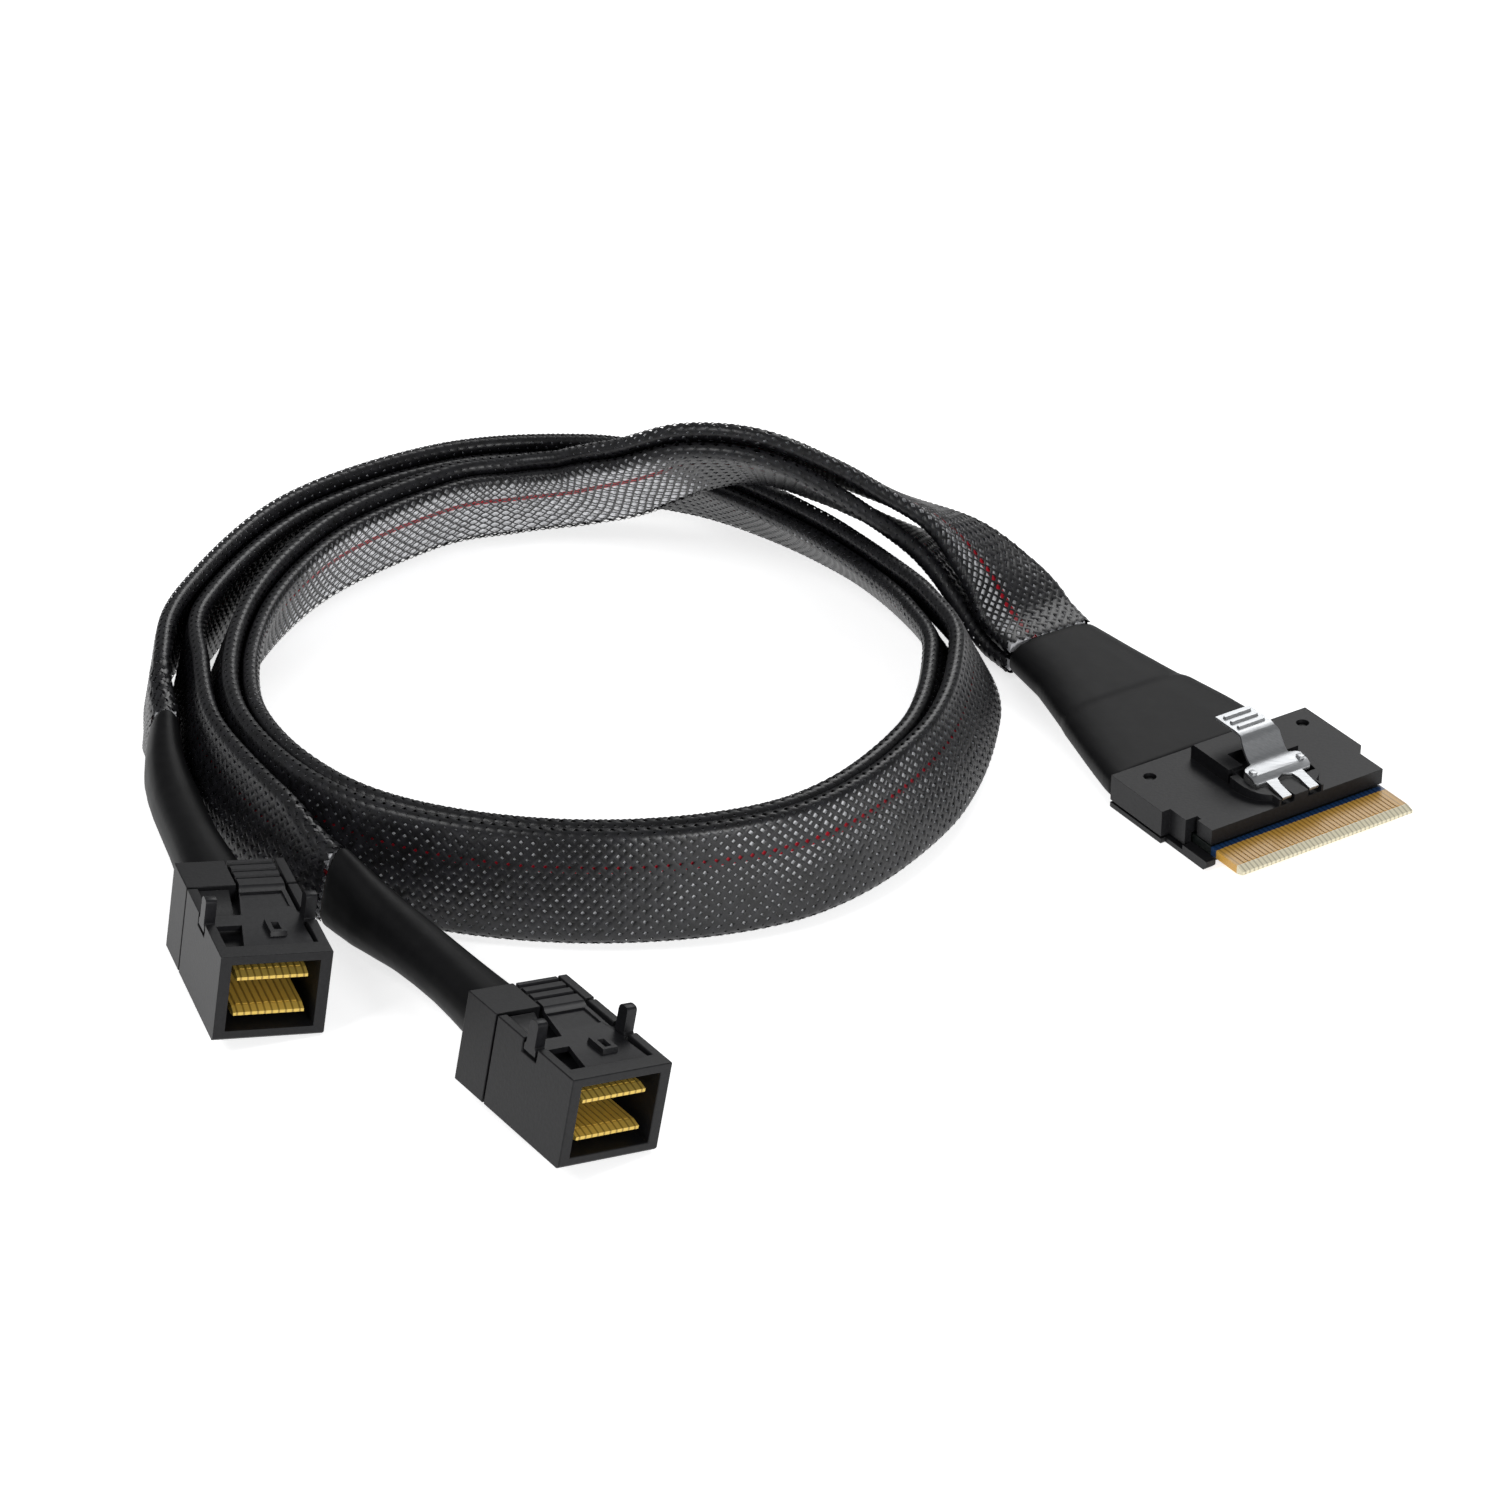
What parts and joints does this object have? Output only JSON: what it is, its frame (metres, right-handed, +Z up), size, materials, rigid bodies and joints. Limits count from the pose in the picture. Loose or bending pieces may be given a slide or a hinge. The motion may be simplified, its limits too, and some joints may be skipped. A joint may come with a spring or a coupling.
{
  "type": "breakout cable with a wide card-edge plug and two square latching plugs",
  "caption": "Flat braided breakout cable: a wide low plug with a steel latch splits into two legs, each ending in a square plug with a sprung latch lever.",
  "frame": {"origin": "on the surface the cable lies on, at the middle of the box round the connectors and boots", "axes": "+Z up, +X from the two square plugs towards the wide plug, -Y towards the side the plugs point to"},
  "size_m": [0.1442, 0.1482, 0.0238],
  "materials": {
    "black_plastic": "fine satin moulded plastic, dark grey-black",
    "lever_plastic": "satin moulded plastic, dark grey",
    "holder_plastic": "matt black moulded plastic",
    "gold_card": "gold-plated contact fingers on a thin card with a blue band",
    "latch_steel": "stamped stainless steel, lightly brushed",
    "shrink_tube": "matt black heat-shrink tube",
    "braid": "black expandable braided sleeve over silver ribbon cable"
  },
  "bodies": {
    "root": {"slim_bottom_housing": "black_plastic", "slim_top_housing": "black_plastic", "slim_card": "gold_card", "slim_boot": "shrink_tube", "plug1_housing": "black_plastic", "plug1_rear_cover": "black_plastic", "plug1_upper_card": "gold_card", "plug1_lower_card": "gold_card", "plug1_card_holder": "holder_plastic", "plug1_boot": "shrink_tube", "plug2_housing": "black_plastic", "plug2_rear_cover": "black_plastic", "plug2_upper_card": "gold_card", "plug2_lower_card": "gold_card", "plug2_card_holder": "holder_plastic", "plug2_boot": "shrink_tube", "leg_a_sleeve": "braid", "leg_b_sleeve": "braid"},
    "latch_spring": {"slim_latch": "latch_steel"},
    "lever_one": {"plug1_latch_lever": "lever_plastic"},
    "lever_two": {"plug2_latch_lever": "lever_plastic"}
  },
  "joints": [
    {"name": "latch_spring_press", "type": "hinge", "parent": "root", "child": "latch_spring", "pos_m": [0.0578, 0.01474, 0.0047], "axis": [-0.8401, -0.5424, 0], "range_deg": [0, 7], "stiffness_Nm_per_rad": 0.1},
    {"name": "lever_one_press", "type": "hinge", "parent": "root", "child": "lever_one", "pos_m": [-0.05284, -0.02526, 0.01005], "axis": [-0.9265, -0.3422, 0.1564], "range_deg": [0, 3], "stiffness_Nm_per_rad": 0.1},
    {"name": "lever_two_press", "type": "hinge", "parent": "root", "child": "lever_two", "pos_m": [-0.01744, -0.04699, 0.0103], "axis": [-0.8022, -0.5605, 0.2059], "range_deg": [0, 3], "stiffness_Nm_per_rad": 0.1}
  ]
}
